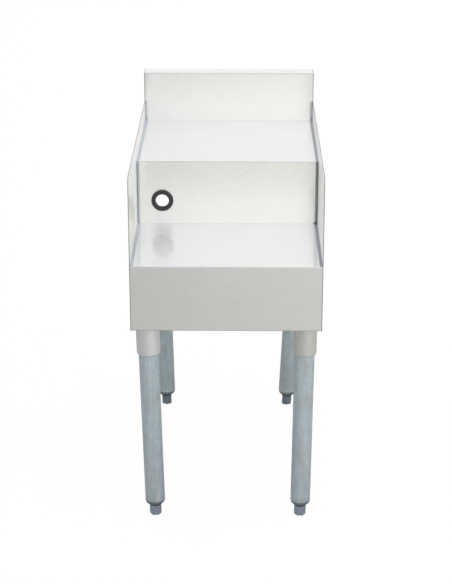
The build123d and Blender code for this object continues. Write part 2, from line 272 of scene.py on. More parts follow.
def brushed_stainless(name, along, settings, smooth, face, bend=None, hanging=0.0):
    """Stainless sheet, belt brushed along one axis ("X" or "Y").

    The belt leaves fine straight scratches, so reflections smear across them and stay sharp along
    them. Between the scratches the sheet is nearly a mirror, in them it is dull: the roughness has
    those two levels. Broad streaks and clouds shift the tone by a hair, as on any rolled sheet.

    A bend is given as its front and top in metres, and the least roughness below it as hanging.
    """
    material, tree, output = new_material(name)
    place = add_node(tree, "ShaderNodeTexCoord").outputs["Object"]
    scratches, colour = brush_marks(tree, place, along, settings)
    share = outward_share(tree)
    colour = unbrushed_tint(tree, colour, share, along, face, settings)
    levels = {"stops": grey_stops(smooth, settings.roughness_scratched, *SCRATCH_EDGE)}
    rough = add_node(tree, "ShaderNodeValToRGB", levels, {"Fac": scratches}).outputs["Color"]
    if bend:
        # The bend's painted highlight and painted shade, and the tint of the face below it
        colour = fold_tint(tree, colour, place, *bend, face, settings)
        rough = kept_dull(tree, place, rough, bend[1], hanging)
    if along == "X":
        mill = {"data_type": "FLOAT", 2: settings.roughness_mill}
        rough = add_node(tree, "ShaderNodeMix", mill, {0: share, 3: rough}).outputs[0]
    relief = add_node(tree, "ShaderNodeMath", {"operation": "MULTIPLY", 1: 0.1}, {0: share})
    bump = add_node(
        tree,
        "ShaderNodeBump",
        {"Distance": SCRATCH_DEPTH * MILLIMETRE},
        {"Height": scratches, "Strength": relief.outputs[0]},
    )
    direction = {"X": float(along == "X"), "Y": float(along == "Y")}
    tangent = add_node(tree, "ShaderNodeCombineXYZ", direction)
    # A quarter turn lets the reflections smear across the scratches instead of along them
    steel = add_node(
        tree,
        "ShaderNodeBsdfPrincipled",
        {"Metallic": 1.0, "Anisotropic": settings.anisotropy, "Anisotropic Rotation": 0.25},
        {
            "Base Color": colour,
            "Roughness": rough,
            "Normal": bump.outputs["Normal"],
            "Tangent": tangent.outputs["Vector"],
        },
    )
    tree.links.new(steel.outputs["BSDF"], output.inputs["Surface"])
    return material


def plain_finish(name, light, dark, roughness, grain, relief, metallic=1.0):
    """A finish whose colour, roughness and height follow one noise.

    Its grains and the relief between them are given in millimetres.
    """
    material, tree, output = new_material(name)
    place = add_node(tree, "ShaderNodeTexCoord").outputs["Object"]
    grains = streak_noise(tree, place, (grain, grain, grain))
    tones = {"stops": [(0.3, linear(dark)), (0.7, linear(light))]}
    colour = add_node(tree, "ShaderNodeValToRGB", tones, {"Fac": grains})
    levels = {"stops": grey_stops(roughness - 0.05, roughness + 0.05)}
    rough = add_node(tree, "ShaderNodeValToRGB", levels, {"Fac": grains})
    bump = add_node(
        tree,
        "ShaderNodeBump",
        {"Strength": 0.4, "Distance": relief * MILLIMETRE},
        {"Height": grains},
    )
    surface = add_node(
        tree,
        "ShaderNodeBsdfPrincipled",
        {"Metallic": metallic},
        {
            "Base Color": colour.outputs["Color"],
            "Roughness": rough.outputs["Color"],
            "Normal": bump.outputs["Normal"],
        },
    )
    tree.links.new(surface.outputs["BSDF"], output.inputs["Surface"])
    return material


def zinc_plated(name):
    """Bright zinc plate over cold formed steel: a pale satin, faintly uneven."""
    return plain_finish(name, "c9ccd0", "b4b8bd", roughness=0.3, grain=1.5, relief=0.02)


def banded_finish(name, stops, roughness, grain, low, stain="ffffff"):
    """A metal whose colour changes in bands of height, mottled by grains, blotches and stains.

    Grains and blotches each darken it down to low, and stains tint it. The grain is given in
    millimetres in each direction.
    """
    material, tree, output = new_material(name)
    place = add_node(tree, "ShaderNodeTexCoord").outputs["Object"]
    colour = bands_along(tree, place, "Z", stops)
    grains = streak_noise(tree, place, grain)
    patches = [(0.38, linear(stain)), (0.52, (1, 1, 1, 1))]
    mottles = (
        (grains, grey_stops(low, 1.0)),
        (streak_noise(tree, place, BLOTCH), grey_stops(low, 1.0)),
        (streak_noise(tree, place, STAIN, detail=1.0), patches),
    )
    for noise, tones in mottles:
        tint = add_node(tree, "ShaderNodeValToRGB", {"stops": tones}, {"Fac": noise})
        links = {6: colour, 7: tint.outputs["Color"]}
        colour = add_node(tree, "ShaderNodeMix", PRODUCT, links).outputs[2]
    levels = {"stops": grey_stops(roughness - 0.04, roughness + 0.04)}
    rough = add_node(tree, "ShaderNodeValToRGB", levels, {"Fac": grains}).outputs["Color"]
    surface = add_node(
        tree,
        "ShaderNodeBsdfPrincipled",
        {"Metallic": 1.0},
        {"Base Color": colour, "Roughness": rough},
    )
    tree.links.new(surface.outputs["BSDF"], output.inputs["Surface"])
    return material


def dress(names, material):
    """Gives CAD nodes their finish."""
    for name in names:
        mesh = nodes[name].data
        mesh.materials.clear()
        mesh.materials.append(material)


def grid_piece(name, points, uv, body, replaced, material):
    """Makes a piece from a grid of points that closes on itself in its second direction.

    The grid is (rows, columns, 3). Its UV coordinates have one column more, and one row more where
    the rows close into a ring as well. Where they don't, the end rows are drawn in to a point.
    """
    rows, columns = points.shape[:2]
    index = np.arange(rows * columns).reshape(rows, columns)
    if uv.shape[0] > rows:
        index = np.vstack([index, index[:1]])
    index = np.hstack([index, index[:, :1]])
    corners = np.arange(index.size).reshape(index.shape)

    def quads(table):
        around = [table[:-1, :-1], table[:-1, 1:], table[1:, 1:], table[1:, :-1]]
        return np.stack(around, axis=-1).reshape(-1, 4)

    mesh = bpy.data.meshes.new(name)
    mesh.from_pydata(points.reshape(-1, 3).tolist(), [], quads(index).tolist())
    layer = mesh.uv_layers.new(name="UVMap")
    flat = uv.reshape(-1, 2)[quads(corners).ravel()]
    layer.data.foreach_set("uv", flat.astype(np.float32).ravel())
    work = bmesh.new()
    work.from_mesh(mesh)
    bmesh.ops.remove_doubles(work, verts=work.verts, dist=1e-6)
    bmesh.ops.recalc_face_normals(work, faces=work.faces)
    work.to_mesh(mesh)
    work.free()
    mesh.polygons.foreach_set("use_smooth", np.ones(len(mesh.polygons), bool))
    mesh.materials.append(material)
    piece = bpy.data.objects.new(name, mesh)
    bpy.context.scene.collection.objects.link(piece)
    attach(piece, body)
    if replaced:
        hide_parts(replaced)
    return piece


def turned(profile, base, up, columns=COLUMNS, north=(0.0, 1.0, 0.0), shape=None):
    """Turns a profile of (radius, height) rows about the axis that leaves base along up.

    Each point is base + height * up + radius * shape * (cos(a) * east + sin(a) * north), where
    shape is 1 or a factor for every row and column.
    """
    up = np.array(up, float)
    north = np.array(north, float)
    east = np.cross(north, up)
    angle = np.linspace(0, 2 * math.pi, columns, endpoint=False)
    ring = np.cos(angle)[:, None] * east + np.sin(angle)[:, None] * north
    profile = np.asarray(profile, float)
    factor = np.ones((len(profile), columns)) if shape is None else np.asarray(shape, float)
    radius = profile[:, 0, None] * factor
    return (
        np.array(base, float)
        + profile[:, 1, None, None] * up
        + radius[:, :, None] * ring
    )


def wrapped(points, radius, along):
    """UV coordinates of a turned grid: metres around at one radius, and metres along the rows."""
    around = np.linspace(0, 2 * math.pi * radius, points.shape[1] + 1)
    return np.stack(np.meshgrid(around, along), axis=-1)


def hollow_section(steps=5):
    """The outline of a corner fillet with legs of 1: a quarter circle curved in, and two walls.

    Each wall has as many edges as there are steps.
    """
    turn = np.linspace(0, math.pi / 2, 17)
    hollow = np.stack([1 - np.sin(turn), 1 - np.cos(turn)], axis=1)
    wall = np.linspace(1, 0, steps + 1)[1:-1, None] * [[0.0, 1.0]]
    return np.vstack([hollow, wall, [[0.0, 0.0]], wall[::-1, ::-1]])


def run_length(profile):
    """Metres run along a profile up to each of its rows."""
    steps = np.linalg.norm(np.diff(np.asarray(profile, float), axis=0), axis=1)
    return np.concatenate([[0.0], np.cumsum(steps)])


def arc(center, radius, start, end, steps):
    """Points of a circular arc, with its angles in degrees."""
    angle = np.radians(np.linspace(start, end, steps))
    return np.stack(
        [center[0] + radius * np.cos(angle), center[1] + radius * np.sin(angle)],
        axis=1,
    )


def leg_axis(corner):
    """Where a leg's axis meets the floor, and the direction up along it."""
    base = Vector(MOUNTS[f"{corner}_foot_base"]["pos_m"])
    return base, -TRAVEL[f"{corner}_leveller_travel"]


def node_reach(name, base, up):
    """The lowest and highest level of a CAD node along an axis, and its radius about it."""
    mesh = nodes[name].data
    points = np.empty(len(mesh.vertices) * 3, np.float32)
    mesh.vertices.foreach_get("co", points)
    offset = points.reshape(-1, 3) - np.array(base)
    along = offset @ np.array(up)
    across = np.linalg.norm(offset - along[:, None] * np.array(up), axis=1)
    return along.min(), along.max(), across.max()


class StationSheetSettings(bpy.types.PropertyGroup):
    """Finish of the folded sheets and of the welds between them."""

    steel_light: StringProperty(
        name="Steel, light", description="sRGB hex of the brighter streaks", default="f7f8f9"
    )
    steel_dark: StringProperty(
        name="Steel, dark", description="sRGB hex of the duller streaks", default="f5f6f7"
    )
    edge_tint: StringProperty(
        name="Edge tint", description="sRGB hex that dulls the sheared edges", default="a8aaac"
    )
    # The mill side's own duller tone, darkened further as painted shade on faces turned down and back
    mill_and_shade_tint: StringProperty(
        name="Mill tint", description="sRGB hex that dulls the unbrushed side", default="dcdddd"
    )
    # Painted light: a warm tint on the upright faces, for the warm front softboxes
    upright_light_tint: StringProperty(
        name="Face tint", description="sRGB hex that warms the upright faces", default="fffffb"
    )
    # Painted light: a cool, slightly darker tint on the flats, for cool light from above
    flat_light_tint: StringProperty(
        name="Flat tint", description="sRGB hex that cools the flats", default="fbfbfc"
    )
    # Painted shade on the lower half of a bend
    bend_flank: StringProperty(
        name="Bend flank", description="sRGB hex that shades the lower half of a bend",
        default="d6d6d6",
    )
    # Painted shade: the faint dark line under a bend
    painted_shade_line: StringProperty(
        name="Die line", description="sRGB hex of the line pressed under a bend", default="f6f6f5"
    )
    # Painted shade: a darker tint on the apron
    apron_shade_tint: StringProperty(
        name="Apron tint", description="sRGB hex that tones the apron down", default="f1f1ef"
    )
    roughness_worn: FloatProperty(
        name="Roughness, worn", description="Roughness between the scratches on the deck",
        default=0.06, min=0.02, max=1, subtype="FACTOR",
    )
    roughness_smooth: FloatProperty(
        name="Roughness, smooth",
        description="Roughness between the scratches on riser, shelf and splash",
        default=0.15, min=0.05, max=1, subtype="FACTOR",
    )
    roughness_scratched: FloatProperty(
        name="Roughness, scratched", description="Roughness in the scratches",
        default=0.38, min=0.05, max=1, subtype="FACTOR",
    )
    roughness_apron: FloatProperty(
        name="Roughness, upright",
        description="Roughness between the scratches on apron and side panels",
        default=0.25, min=0.05, max=1, subtype="FACTOR",
    )
    roughness_mill: FloatProperty(
        name="Roughness, mill", description="Roughness of the mill finish at the back and below",
        default=0.42, min=0.05, max=1, subtype="FACTOR",
    )
    anisotropy: FloatProperty(
        name="Anisotropy", description="How far reflections smear across the brushing",
        default=1.0, min=0, max=1, subtype="FACTOR",
    )
    scratch_length: FloatProperty(
        name="Scratch length", description="Length of one scratch",
        default=0.014, min=0.001, unit="LENGTH",
    )
    scratch_width: FloatProperty(
        name="Scratch width", description="Width of one scratch",
        default=0.00006, min=0.00001, unit="LENGTH",
    )
    streak_length: FloatProperty(
        name="Streak length", description="Length of the broad streaks",
        default=0.16, min=0.001, unit="LENGTH",
    )
    streak_width: FloatProperty(
        name="Streak width", description="Width of the broad streaks",
        default=0.0025, min=0.0001, unit="LENGTH",
    )
    cloud_size: FloatProperty(
        name="Cloud size", description="Size of the faint clouds",
        default=0.06, min=0.001, unit="LENGTH",
    )
    seam_radius: FloatProperty(
        name="Seam radius", description="Radius of the polished fillets behind deck and shelf",
        default=0.0015, unit="LENGTH",
    )
    toe_reach: FloatProperty(
        name="Toe reach", description="How far the corner lump runs out along the seams",
        default=0.010, unit="LENGTH",
    )
    toe_rise: FloatProperty(
        name="Toe rise", description="How far the corner lump runs up the riser",
        default=0.014, unit="LENGTH",
    )


class StationLegSettings(bpy.types.PropertyGroup):
    """Shape and finish of the galvanised tubes."""

    wall: FloatProperty(
        name="Wall", description="Thickness of the tube", default=0.0016, unit="LENGTH"
    )
    dome_radius: FloatProperty(
        name="Dome radius", description="Radius of the drawn-in end", default=0.0095, unit="LENGTH"
    )
    dome_edge: FloatProperty(
        name="Dome edge", description="How far the mouth lies outside the dome's centre",
        default=0.00195, unit="LENGTH",
    )
    zinc: StringProperty(
        name="Zinc", description="sRGB hex of the galvanised tube", default="e2f0fa"
    )
    # Painted shade: the rear tubes are the same zinc, darker where the body shades them
    zinc_shaded_rear: StringProperty(
        name="Zinc, rear", description="sRGB hex of the rear tubes, which are duller",
        default="d6e5ed",
    )
    stain: StringProperty(
        name="Stain", description="sRGB hex that tints the straw coloured patches",
        default="fbf9f5",
    )
    # Painted highlight: the bright ring above the drawn-in end
    painted_ring_highlight: StringProperty(
        name="Rubbed", description="sRGB hex of the bright ring above the spun end",
        default="dcebf4",
    )
    # Painted shade: the drawn-in end, which faces the floor
    painted_dome_shade: StringProperty(
        name="Burnt", description="sRGB hex of the spun end", default="a0acb2"
    )


class StationFootSettings(bpy.types.PropertyGroup):
    """Shape and finish of the levelling feet."""

    flats: FloatProperty(
        name="Across flats", description="Width of the hexagon", default=0.02, unit="LENGTH"
    )
    sharpness: FloatProperty(
        name="Sharpness", description="How sharp the hexagon's corners are", default=40.0, min=8
    )
    edge: FloatProperty(
        name="Edge", description="Rounding of the hexagon's rims", default=0.0008, unit="LENGTH"
    )
    bore: FloatProperty(
        name="Bore", description="Diameter of the hole for the stud", default=0.0101, unit="LENGTH"
    )
    seat: FloatProperty(
        name="Seat", description="Height of the stud's seat over the floor",
        default=0.006, unit="LENGTH",
    )
    pitch: FloatProperty(
        name="Pitch", description="Pitch of the stud's thread", default=0.0015, unit="LENGTH"
    )
    thread_depth: FloatProperty(
        name="Thread depth", description="Depth of the stud's thread",
        default=0.0009, unit="LENGTH",
    )
    plastic: StringProperty(
        name="Plastic", description="sRGB hex of the moulded plastic", default="8f9dae"
    )
    # Painted shade: the rear feet are the same plastic, darker where the body shades them
    plastic_shaded_rear: StringProperty(
        name="Plastic, rear", description="sRGB hex of the rear feet, which are darker",
        default="8490a0",
    )


class StationGrommetSettings(bpy.types.PropertyGroup):
    """Shape and finish of the cord grommet, which is pressed into the riser."""

    bore: FloatProperty(
        name="Bore", description="Diameter of the opening for the cord",
        default=0.026, unit="LENGTH",
    )
    face: FloatProperty(
        name="Face", description="Diameter of the front flange", default=0.0432, unit="LENGTH"
    )
    neck: FloatProperty(
        name="Neck", description="Diameter in the groove", default=0.0338, unit="LENGTH"
    )
    lip: FloatProperty(
        name="Lip", description="Diameter of the back flange", default=0.04, unit="LENGTH"
    )
    front: FloatProperty(
        name="Front", description="How far it stands in front of the riser",
        default=0.004, unit="LENGTH",
    )
    back: FloatProperty(
        name="Back", description="How far it stands behind the riser",
        default=0.0025, unit="LENGTH",
    )
    sheet: FloatProperty(
        name="Sheet", description="Thickness of the riser that it grips",
        default=0.0015, unit="LENGTH",
    )
    round_over: FloatProperty(
        name="Round-over", description="Rounding of the front flange",
        default=0.0028, unit="LENGTH",
    )
    edge: FloatProperty(
        name="Edge", description="Rounding of the other edges", default=0.0009, unit="LENGTH"
    )
    rubber: StringProperty(
        name="Rubber", description="sRGB hex of the rubber", default="2f3034"
    )


class StationStageSettings(bpy.types.PropertyGroup):
    """Camera, lamps, floor and background. A brightness of 1 is white."""

    camera_place: FloatVectorProperty(
        name="Camera place", description="Where the photograph was taken from",
        default=(0.02906, -3.21848, 1.56621), unit="LENGTH",
    )
    camera_pitch: FloatProperty(
        name="Camera pitch", description="How far the camera looks down",
        default=0.3575, unit="ROTATION",
    )
    camera_yaw: FloatProperty(
        name="Camera yaw", description="How far the camera looks to the left",
        default=0.0101, unit="ROTATION",
    )
    focal_pixels: FloatProperty(
        name="Focal length", description="Focal length in pixels of the photograph",
        default=1692.0, subtype="PIXEL",
    )
    image_height: FloatProperty(
        name="Image height", description="Height of the photograph in pixels",
        default=584, subtype="PIXEL",
    )
    # The floor grows paler to the right as painted light, for the brighter studio on that side
    floor_left: StringProperty(
        name="Floor, left", description="sRGB hex of the studio floor at the left",
        default="a8a9a6",
    )
    floor_colour: StringProperty(
        name="Floor", description="sRGB hex of the studio floor under the station",
        default="b2b2ae",
    )
    floor_right: StringProperty(
        name="Floor, right", description="sRGB hex of the studio floor at the right",
        default="cacac5",
    )
    floor_size: FloatProperty(
        name="Floor size", description="Width of the studio floor",
        default=24.0, min=1, unit="LENGTH",
    )
    floor_grade: FloatProperty(
        name="Floor grade", description="How far to each side the floor's shade goes on changing",
        default=0.8, min=0.1, unit="LENGTH",
    )
    floor_haze: FloatProperty(
        name="Floor haze", description="Share of the floor's own light that the camera sees",
        default=0.2, min=0, max=1, subtype="FACTOR",
    )
    floor_clear: FloatProperty(
        name="Floor clearness",
        description="Share of the light behind the floor that the camera sees",
        default=0.93, min=0, max=1, subtype="FACTOR",
    )
    world_radiance: FloatProperty(
        name="World", description="Brightness of the background as a light", default=0.9, min=0
    )
    warm_light: StringProperty(
        name="Warm light", description="sRGB hex of the front softboxes' light", default="fff9f0"
    )
    cool_light: StringProperty(
        name="Cool light", description="sRGB hex of the high softbox's light", default="e6eeff"
    )
    key_radiance: FloatProperty(
        name="Key", description="Brightness of the key softbox", default=0.48, min=0
    )
    fill_radiance: FloatProperty(
        name="Fill", description="Brightness of the softbox beside the key", default=0.06, min=0
    )
    low_radiance: FloatProperty(
        name="Low", description="Brightness of the low front softbox", default=0.26, min=0
    )
    right_radiance: FloatProperty(
        name="Right", description="Brightness of the right softbox", default=0.4, min=0
    )
    high_radiance: FloatProperty(
        name="High", description="Brightness of the high softbox", default=0.07, min=0
    )


class StationBrushSheets(bpy.types.Operator):
    """Brush the folded sheets, dull the hidden ones and satin the welds"""

    bl_idname = "bar_station.brush_sheets"
    bl_label = "Brush sheets"

    def execute(self, context):
        settings = context.scene.station_sheets
        # The upright faces take a warm tint as painted light, and the apron a darker one as painted shade
        warm, apron = settings.upright_light_tint, settings.apron_shade_tint
        worn, smooth = settings.roughness_worn, settings.roughness_smooth
        upright = settings.roughness_apron
        # Belt brushed sheet: the deck is worn smooth, apron and side panels are brushed duller
        for name, between, face, hanging in (
            ("deck_and_apron", worn, apron, upright),
            ("riser_and_shelf", smooth, warm, 0.0),
            ("backsplash", smooth, warm, 0.0),
        ):
            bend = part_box(name)[0][1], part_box(name)[1][2]
            finish = f"Stainless_brushed_{name}"
            dress((name,), brushed_stainless(finish, "X", settings, between, face, bend, hanging))
        side = brushed_stainless("Stainless_brushed_lengthwise", "Y", settings, upright, warm)
        dress(("left_side_panel", "right_side_panel"), side)
        # Mill finish sheet: dull, pale and even, as it came off the rolls
        mill = plain_finish(
            "Stainless_mill_finish", "d6d8d8", "c8caca", roughness=0.42, grain=6.0, relief=0.01
        )
        hidden = ("front_leg_channel", "rear_leg_channel", "deck_stiffener", "shelf_stiffener")
        dress(hidden, mill)
        deck, shelf = (MOUNTS[name]["pos_m"][2] for name in ("deck_surface", "shelf_surface"))
        self.satin_welds(deck, shelf)
        self.add_weld_toe(settings, deck)
        # Seams polished over: as smooth as the worn deck
        polished = brushed_stainless("Stainless_seam_polished", "X", settings, worn, warm)
        for name, level in (("riser_and_shelf", deck), ("backsplash", shelf)):
            self.add_seam(name, level, settings, polished)
        return {"FINISHED"}

    @staticmethod
    def satin_welds(deck, shelf):
        """Ground welds, in bands that start at the deck, the riser, the shelf and the splash."""
        lower = (deck, deck + 0.005, deck + 0.007)
        upper = (shelf - 0.002, shelf, shelf + 0.005, shelf + 0.012)
        # Satin from the flap wheel, and on the right dull and blue with heat tint up the riser, darkened
        # further as painted shade in the right corner
        tints = {
            "left": ("c6cdd5", "c6cdd5", "ccd7e0", "ccd7e0", "c6ced8", "c6ced8", "dcdddd"),
            "right": ("9aa0b0", "98a0ac", "989e9b", "989e9b", "aab0ba", "aab0ba", "cccdca"),
        }
        for side, colours in tints.items():
            weld = banded_finish(
                f"Stainless_ground_weld_{side}", list(zip(lower + upper, colours)),
                roughness=0.35, grain=(4, 4, 4), low=0.9,
            )
            dress((f"{side}_corner_weld",), weld)

    @staticmethod
    def add_seam(name, level, settings, material):
        """The polished fillet at the foot of an upright sheet: a hollow section drawn along X.

        A second ring just inside each end keeps the shading flat up to it.
        """
        low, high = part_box(name)
        section = hollow_section() * settings.seam_radius
        skin = 0.0002
        stations = np.array([low[0], low[0], low[0] + skin, high[0] - skin, high[0], high[0]])
        points = np.empty((len(stations), len(section), 3))
        points[:, :, 0] = stations[:, None]
        points[:, :, 1] = low[1] - section[:, 0]
        points[:, :, 2] = level + section[:, 1]
        points[[0, -1], :, 1:] = low[1], level
        uv = wrapped(points, settings.seam_radius, points[:, 0, 0])
        grid_piece(f"{name}_seam", points, uv, "station", None, material)

    @staticmethod
    def add_weld_toe(settings, deck):
        """The lump left in the corner where deck, riser and right side panel meet.

        Level by level it is a hollow section whose legs are reach * (1 - height / rise) ** 2, so
        that it runs out in three points.
        """
        low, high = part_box("riser_and_shelf")
        share = np.linspace(1, 0, 16)[:, None]
        legs = settings.toe_reach * share**2
        section = hollow_section(steps=1)
        points = np.empty((len(share) + 1, len(section), 3))
        points[1:, :, 0] = high[0] - legs * section[:, 0]
        points[1:, :, 1] = low[1] - legs * section[:, 1]
        points[1:, :, 2] = deck + settings.toe_rise * (1 - share)
        points[0] = high[0], low[1], deck
        # As welded, not ground: dark and dull
        toe = plain_finish(
            "Stainless_weld_unground", "6e757c", "5b6168", roughness=0.42, grain=1.5, relief=0.05
        )
        uv = wrapped(points, settings.toe_reach / 3, points[:, 0, 2])
        grid_piece("right_corner_weld_toe", points, uv, "station", None, toe)


class StationCastSockets(bpy.types.Operator):
    """Finish the cast sockets, their bolts and their set screws"""

    bl_idname = "bar_station.cast_sockets"
    bl_label = "Cast sockets"

    def execute(self, context):
        # Die cast and tumbled: a pale warm satin with a faint orange peel, one of them brighter
        cast = {"roughness": 0.46, "grain": 2.0, "relief": 0.05}
        bright = plain_finish("Aluminium_die_cast_bright", "f6f7f9", "f1f2f4", **cast)
        dull = plain_finish("Aluminium_die_cast_tumbled", "e5e7e5", "dfe1df", **cast)
        for corner in CORNERS:
            dress((f"{corner}_gusset",), bright if corner == "front_left" else dull)
        fixings = ("gusset_bolts", "gusset_nuts", "gusset_set_screws")
        dress(fixings, zinc_plated("Steel_bright_zinc_plated"))
        return {"FINISHED"}


class StationDrawLegs(bpy.types.Operator):
    """Make the galvanised tubes with their drawn-in ends"""

    bl_idname = "bar_station.draw_legs"
    bl_label = "Draw legs"

    def execute(self, context):
        settings = context.scene.station_legs
        # Galvanised tube: dull blue grey with bloom drawn out along it. Its end is drawn in; the dome is
        # darkened as painted shade, and a bright ring above it is a painted highlight. The levels are
        # metres above the floor, and the rear tubes are darker as painted shade.
        levels = (0.022, 0.0315, 0.0335, 0.0375, 0.045)
        painted_dome_shade, painted_ring_highlight = settings.painted_dome_shade, settings.painted_ring_highlight
        finishes = {}
        for pair, name, zinc in (
            ("front", "Steel_galvanised_drawn_tube", settings.zinc),
            ("rear", "Steel_galvanised_shaded_tube", settings.zinc_shaded_rear),
        ):
            finishes[pair] = banded_finish(
                name, list(zip(levels, (painted_dome_shade, painted_dome_shade, painted_ring_highlight, painted_ring_highlight, zinc))),
                roughness=0.48, grain=(4, 4, 90), low=0.86, stain=settings.stain,
            )
        for corner in CORNERS:
            self.add_tube(corner, settings, finishes[corner.split("_")[0]])
        return {"FINISHED"}

    @staticmethod
    def add_tube(corner, settings, material):
        """A tube turned about its leg's axis, with its lower end drawn in by a quarter circle.

        The profile runs up the outside, over the flat top and down the inside. The drawn-in end
        is two arcs about one centre, of the dome's radius and of that less the wall, and both stop
        where they are the dome's edge outside that centre.
        """
        name = f"{corner}_leg"
        base, up = leg_axis(corner)
        low, high, radius = node_reach(name, base, up)
        wall, dome, edge = settings.wall, settings.dome_radius, settings.dome_edge
        center = (radius - dome, low + math.sqrt(dome**2 - edge**2))
        mouth = -math.degrees(math.acos(edge / dome))
        throat = -math.degrees(math.acos(edge / (dome - wall)))
        straight = np.linspace(center[1], high, 40)[1:]
        profile = np.vstack(
            [
                arc(center, dome, mouth, 0, 14),
                np.stack([np.full(len(straight), radius), straight], axis=1),
                np.stack([np.full(len(straight), radius - wall), straight[::-1]], axis=1),
                arc(center, dome - wall, 0, throat, 14),
            ]
        )
        points = turned(profile, base, up)
        uv = wrapped(points, radius, run_length(np.vstack([profile, profile[:1]])))
        grid_piece(f"{corner}_tube", points, uv, "station", name, material)


class StationMouldFeet(bpy.types.Operator):
    """Make the hexagonal levelling feet, their threaded studs and the plugs"""

    bl_idname = "bar_station.mould_feet"
    bl_label = "Mould feet"

    def execute(self, context):
        settings = context.scene.station_feet
        # Injection moulded plastic, slate grey feet and black plugs, all of them fine grained
        moulded = {"roughness": 0.45, "grain": 1.2, "relief": 0.03, "metallic": 0.0}
        # The rear feet are darker as painted shade
        slate, dark = settings.plastic, settings.plastic_shaded_rear
        slates = {
            "front": plain_finish("Polyamide_moulded_slate", slate, "7f8b99", **moulded),
            "rear": plain_finish("Polyamide_moulded_shaded_slate", dark, "5e6874", **moulded),
        }
        black = plain_finish(
            "Polyamide_moulded_black", "2a2b2e", "222326",
            roughness=0.5, grain=0.8, relief=0.02, metallic=0.0,
        )
        plated = zinc_plated("Steel_zinc_plated_thread")
        for corner in CORNERS:
            self.add_foot(corner, settings, slates[corner.split("_")[0]])
            self.add_stud(corner, settings, plated)
        dress([f"{corner}_foot_plug" for corner in CORNERS], black)
        return {"FINISHED"}

    @staticmethod
    def add_foot(corner, settings, material):
        """A rounded hexagon drawn up from the floor, with a chamfered rim and a bore for the stud.

        Its outline is flats / 2 / (sum of |cos(a - k * 60 degrees)| ** sharp for k = 0, 1, 2) **
        (1 / sharp). The three lowest rows are slid along the axis to their level over the floor.
        """
        name = f"{corner}_foot"
        base, up = leg_axis(corner)
        high = node_reach(name, base, up)[1]
        half, rim, bore = settings.flats / 2, settings.edge, settings.bore / 2
        side = np.linspace(3 * rim, high - rim / 2, 9)
        profile = np.vstack(
            [
                [(0, 0), (half - rim, 0), (half, rim)],
                np.stack([np.full(len(side), half), side], axis=1),
                arc((half - rim / 2, high - rim / 2), rim / 2, 15, 90, 5),
                [(bore, high), (bore, settings.seat), (0, settings.seat)],
            ]
        )
        # The front feet turn a flat to the camera, the rear ones a corner
        turn = math.radians(30 if corner.startswith("front") else 0)
        angle = np.linspace(0, 2 * math.pi, COLUMNS, endpoint=False)
        cosines = np.abs(np.cos(angle[:, None] - turn - np.radians([0, 60, 120])))
        outline = (cosines**settings.sharpness).sum(axis=1) ** (-1 / settings.sharpness)
        shape = np.tile(outline, (len(profile), 1))
        shape[-3:] = 1
        points = turned(profile, base, up, shape=shape)
        slide = (np.array([0, 0, rim])[:, None] - points[:3, :, 2]) / up[2]
        points[:3] += slide[:, :, None] * np.array(up)
        uv = wrapped(points, half, run_length(profile))
        rider = f"{corner}_leveller"
        grid_piece(f"{name}_moulding", points, uv, rider, name, material)

    @staticmethod
    def add_stud(corner, settings, material):
        """A rolled thread: radius - depth * (1 - cos(2 pi (height / pitch - a / 2 pi))) / 2.

        Its top is drawn in over the chamfer, to 1 - chamfer / slope of its radius.
        """
        name = f"{corner}_foot_stud"
        base, up = leg_axis(corner)
        low, high, radius = node_reach(name, base, up)
        rows_per_turn, columns = 5, 36
        chamfer, slope = 0.001, 0.0045
        turns = (high - low) / settings.pitch
        height = np.linspace(low, high, int(turns * rows_per_turn))
        angle = np.linspace(0, 1, columns, endpoint=False)
        phase = 2 * math.pi * (height[:, None] / settings.pitch - angle)
        depth = settings.thread_depth / radius
        taper = np.minimum(1, 1 + (high - height - chamfer) / slope)
        shape = (1 - depth * (1 - np.cos(phase)) / 2) * taper[:, None]
        rows = np.stack([np.full(len(height), radius), height], axis=1)
        profile = np.vstack([[(0, low)], rows, [(0, high)]])
        shape = np.vstack([shape[:1], shape, shape[-1:]])
        points = turned(profile, base, up, columns, shape=shape)
        uv = wrapped(points, radius, run_length(profile))
        rider = f"{corner}_leveller"
        grid_piece(f"{name}_thread", points, uv, rider, name, material)


class StationPressGrommet(bpy.types.Operator):
    """Make the rubber cord grommet"""

    bl_idname = "bar_station.press_grommet"
    bl_label = "Press grommet"

    def execute(self, context):
        settings = context.scene.station_grommet
        # Moulded black rubber with a soft sheen
        rubber = plain_finish(
            "Rubber_moulded_black", settings.rubber, "26272a",
            roughness=0.3, grain=1.5, relief=0.02, metallic=0.0,
        )
        self.add_ring(settings, rubber)
        return {"FINISHED"}

    @staticmethod
    def add_ring(settings, material):
        """A ring turned about the cord hole's axis, with heights from the riser's front face.

        The profile runs up the bore, over the rounded front flange, into the groove that holds the
        sheet, and round the flange behind it.
        """
        name = "cord_grommet"
        mount = MOUNTS["cord_hole"]
        bore, front = settings.bore / 2, settings.front
        sheet, back = settings.sheet, settings.sheet + settings.back
        face, neck, lip = settings.face / 2, settings.neck / 2, settings.lip / 2
        round_over, edge = settings.round_over, settings.edge
        profile = np.vstack(
            [
                arc((bore + edge, edge - back), edge, 270, 180, 6),
                arc((bore + edge, front - edge), edge, 180, 90, 6),
                arc((face - round_over, front - round_over), round_over, 90, 0, 12),
                [(face, 0), (neck, 0), (neck, -sheet), (lip, -sheet)],
                arc((lip - edge, edge - back), edge, 0, -90, 6),
            ]
        )
        points = turned(profile, mount["pos_m"], mount["axis"], north=(0.0, 0.0, 1.0))
        uv = wrapped(points, face, run_length(np.vstack([profile, profile[:1]])))
        grid_piece(f"{name}_ring", points, uv, "station", name, material)


